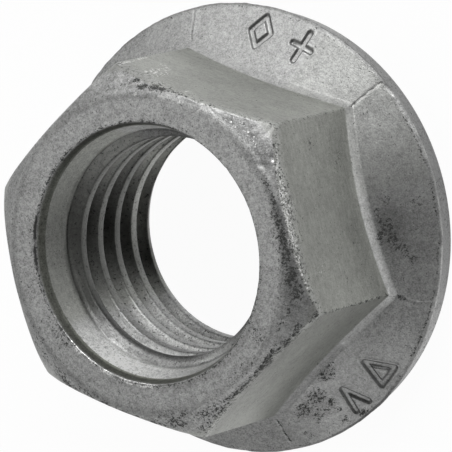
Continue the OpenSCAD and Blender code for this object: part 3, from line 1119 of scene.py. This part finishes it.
def coat_material():
    """Matt zinc-flake coat: grainy grey, bare metal on worn edges, dirt in patches and specks, and painted
    light and shade.
    """
    made = bpy.data.materials.new("zinc_flake_coat")
    made.use_nodes = True
    n = Nodes(made.node_tree)
    place = n.place()
    grain = n.noise(place, *GRAIN)
    fine = n.noise(place, *FINE)
    blotch = n.noise(place, *BLOTCH)
    cloud = n.noise(place, *CLOUD)
    clumps = n.noise(n.place(shift=CLUMPS_SHIFT), *CLUMPS)
    specks = n.noise(n.place(shift=SPECKS_SHIFT), *SPECKS)
    streaks = n.noise(n.place(stretch=STREAKS_STRETCH), *STREAKS)
    smooth, grime, bright = n.attribute("smooth"), n.attribute("grime"), n.attribute("bright")
    turned, stroke, dull = n.attribute("turned"), n.attribute("stroke"), n.attribute("dull")

    level = n.centred(grain, n.mix(smooth, *GRAIN_LEVEL, "FLOAT"))
    level = n.math("ADD", level, n.centred(fine, n.mix(smooth, *FINE_LEVEL, "FLOAT")))
    level = n.math("ADD", level, n.centred(blotch, n.mix(smooth, *BLOTCH_LEVEL, "FLOAT")))
    level = n.math("ADD", level, n.centred(cloud, CLOUD_LEVEL))
    level = n.math("ADD", level, n.centred(streaks, n.mix(smooth, *STREAKS_LEVEL, "FLOAT")))
    level = n.math("ADD", n.math("MAXIMUM", level, DARKEST), 1.0)
    # The shade attribute paints light and shade into the coat's colour
    level = n.math("MULTIPLY", level, n.attribute("shade"))
    # Painted shade darkens the walls of the stamped strokes
    edge = n.math("MULTIPLY", n.ramp(stroke, *STROKE_INNER), n.ramp(stroke, *STROKE_OUTER))
    edge = n.math("MULTIPLY", edge, STROKE_WALL_SHADE)
    level = n.math("MULTIPLY", level, n.math("SUBTRACT", 1.0, edge))
    colour = n.scaled(n.mix(n.ramp(smooth, *TINTED_FROM), COAT, COAT_SMOOTH), level)
    colour = n.mix(turned, colour, n.scaled(TURNED[:3], level))

    bared = n.math("ADD", bright, n.centred(clumps, METAL_CLUMPS))
    bared = n.math("MULTIPLY", n.ramp(bared, *METAL_FROM), n.ramp(bright, *METAL_LEAST))
    reach = n.math("MULTIPLY", n.math("MINIMUM", grime, SPECK_MOST), SPECK_GRIME)
    reach = n.math("SUBTRACT", SPECK_REACH, reach)
    dirt = n.ramp(n.math("SUBTRACT", specks, reach), *SPECK_FROM)
    dirt = n.math("MULTIPLY", dirt, SPECK_COVER)
    dirt = n.math("MAXIMUM", dirt, n.math("MULTIPLY", n.ramp(grime, *SOLID_FROM), SOLID_COVER))

    colour = n.mix(bared, colour, BARE)
    colour = n.mix(dirt, colour, GRIME)
    metal = n.mix(bared, n.mix(dull, *COAT_METAL, "FLOAT"), BARE_METAL, "FLOAT")
    metal = n.mix(dirt, metal, DIRT_METAL, "FLOAT")
    rough = n.mix(smooth, n.mix(dull, *COAT_ROUGH, "FLOAT"), SMOOTH_ROUGH, "FLOAT")
    rough = n.mix(turned, n.mix(bared, rough, BARE_ROUGH, "FLOAT"), TURNED_ROUGH, "FLOAT")
    rough = n.mix(dirt, rough, DIRT_ROUGH, "FLOAT")

    height = n.math("MULTIPLY", grain, GRAIN_HEIGHT)
    height = n.math("ADD", height, n.math("MULTIPLY", fine, FINE_HEIGHT))
    strength = n.mix(turned, n.mix(smooth, *COAT_BUMP, "FLOAT"), TURNED_BUMP, "FLOAT")
    bump = n.add("ShaderNodeBump", {"Height": height, "Strength": strength, "Distance": BUMP_DISTANCE})
    shader = n.add("ShaderNodeBsdfPrincipled", {"Base Color": colour, "Metallic": metal,
                                                "Roughness": rough, "Normal": bump.outputs[0]})
    n.add("ShaderNodeOutputMaterial", {"Surface": shader.outputs[0]})
    return made


skin = build_skin()
wear = shape_wear(skin)
nut = make_mesh("nut_skin", skin, masks(skin, wear))
nut.data.materials.append(coat_material())
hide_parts(NUT)
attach(nut, "root")

# Camera: tilt off the thread's axis, roll, turn, and where the rim's centre lies in the picture
PICTURE = 452
TILT = math.radians(33.027)
ROLL = math.radians(14.279)
TURN = math.radians(88.66)
CENTRE_X = 244.71
CENTRE_Y = 227.92
RIM_PIXELS = 227.27
FOCAL_PIXELS = 6316.7
SENSOR = 36.0
CLIP = (0.05, 50)


def picture_axes():
    """The picture's right, up and towards the viewer, as directions in the nut's frame."""
    down_axis = np.array([-math.sin(TILT) * math.cos(ROLL), math.sin(TILT) * math.sin(ROLL), -math.cos(TILT)])
    across = np.array([math.sin(ROLL), math.cos(ROLL), 0])
    base = np.stack([across, np.cross(down_axis, across), down_axis], axis=1)
    spin = np.array([[math.cos(TURN), -math.sin(TURN), 0], [math.sin(TURN), math.cos(TURN), 0], [0, 0, 1]])
    rows = base @ spin
    return rows[0], -rows[1], -rows[2]


RIGHT, UP, BACK = picture_axes()
MIDDLE = (PICTURE - 1) / 2
ASIDE = (CENTRE_X - MIDDLE) / RIM_PIXELS * BOX_RADIUS
BELOW = (CENTRE_Y - MIDDLE) / RIM_PIXELS * BOX_RADIUS
DISTANCE = FOCAL_PIXELS / RIM_PIXELS * BOX_RADIUS


def make_camera():
    data = bpy.data.cameras.new("camera")
    data.sensor_width = SENSOR
    data.lens = FOCAL_PIXELS / PICTURE * SENSOR
    data.clip_start, data.clip_end = CLIP
    made = add_object("camera", data)
    centre = np.array([0, 0, RIM_TOP])
    spot = (centre - ASIDE * RIGHT + BELOW * UP + DISTANCE * BACK) * MM
    made.matrix_world = Matrix([[RIGHT[i], UP[i], BACK[i], spot[i]] for i in range(3)] + [[0, 0, 0, 1]])
    bpy.context.scene.camera = made


# Lamps: name, direction as (right, up, viewer) of the picture, and power. Sizes are in metres
LAMPS = (
    ("key", (-0.06, 0.76, 0.64), 3.65),
    ("side", (-0.70, 0.65, 0.30), 1.2),
    ("fill", (-0.88, -0.16, 0.46), 0.72),
    ("low", (-0.31, -0.83, 0.47), 0.9),
)
LAMP_DISTANCE = 0.7
LAMP_SIZE = 0.45


def add_lamp(name, towards, power):
    """A round soft lamp that looks at the nut."""
    aim = towards[0] * RIGHT + towards[1] * UP + towards[2] * BACK
    aim /= np.linalg.norm(aim)
    data = bpy.data.lights.new(name, "AREA")
    data.shape, data.size, data.energy = "DISK", LAMP_SIZE, power
    made = add_object(name, data)
    centre = Vector((0, 0, HEIGHT / 2 * MM))
    made.location = centre + Vector(aim) * LAMP_DISTANCE
    made.rotation_mode = "QUATERNION"
    made.rotation_quaternion = Vector(aim).to_track_quat("Z", "Y")


# Floor and world, in metres. The world's light fades from the horizon up to DIM_HEIGHT
FLOOR_SIZE = 12.0
FLOOR_GAP = 0.00002
PALE = (0.9, 0.9, 0.9, 1)
WHITE = (1, 1, 1, 1)
WHITE_SHARE = 0.96
HORIZON_LIGHT = 0.45
DIM_HEIGHT = 0.8


def stage_material():
    """Pale floor that shows white to the camera, to metal and to glass, and keeps a soft shadow."""
    made = bpy.data.materials.new("pale_floor")
    made.use_nodes = True
    n = Nodes(made.node_tree)
    path = n.add("ShaderNodeLightPath")
    seen = n.math("MAXIMUM", path.outputs["Is Camera Ray"], path.outputs["Is Glossy Ray"])
    seen = n.math("MAXIMUM", seen, path.outputs["Is Transmission Ray"])
    paint = n.add("ShaderNodeBsdfDiffuse", {"Color": PALE})
    white = n.add("ShaderNodeEmission", {"Color": WHITE, "Strength": 1.0})
    share = n.math("MULTIPLY", seen, WHITE_SHARE)
    both = n.add("ShaderNodeMixShader", {0: share, 1: paint.outputs[0], 2: white.outputs[0]})
    n.add("ShaderNodeOutputMaterial", {"Surface": both.outputs[0]})
    return made


def make_floor():
    mesh = bpy.data.meshes.new("floor")
    half = FLOOR_SIZE / 2
    around_floor = ((-half, -half), (half, -half), (half, half), (-half, half))
    corners = [(x, y, -FLOOR_GAP) for x, y in around_floor]
    mesh.from_pydata(corners, [], [(0, 1, 2, 3)])
    made = add_object("floor", mesh)
    mesh.materials.append(stage_material())


def make_world():
    """Even studio light, brighter near the horizon than overhead."""
    world = bpy.data.worlds.new("studio")
    world.use_nodes = True
    n = Nodes(world.node_tree)
    direction = n.add("ShaderNodeTexCoord").outputs["Generated"]
    height = n.add("ShaderNodeSeparateXYZ", {0: direction}).outputs["Z"]
    level = n.add("ShaderNodeMapRange", {"Value": height, "From Min": 0.0, "From Max": DIM_HEIGHT,
                                         "To Min": HORIZON_LIGHT, "To Max": 0.0},
                  interpolation_type="SMOOTHSTEP")
    background = n.add("ShaderNodeBackground", {"Color": WHITE, "Strength": level.outputs[0]})
    n.add("ShaderNodeOutputWorld", {"Surface": background.outputs[0]})
    bpy.context.scene.world = world


make_camera()
make_world()
make_floor()
for name, towards, power in LAMPS:
    add_lamp(name, towards, power)

bpy.context.scene.view_settings.view_transform = "Standard"
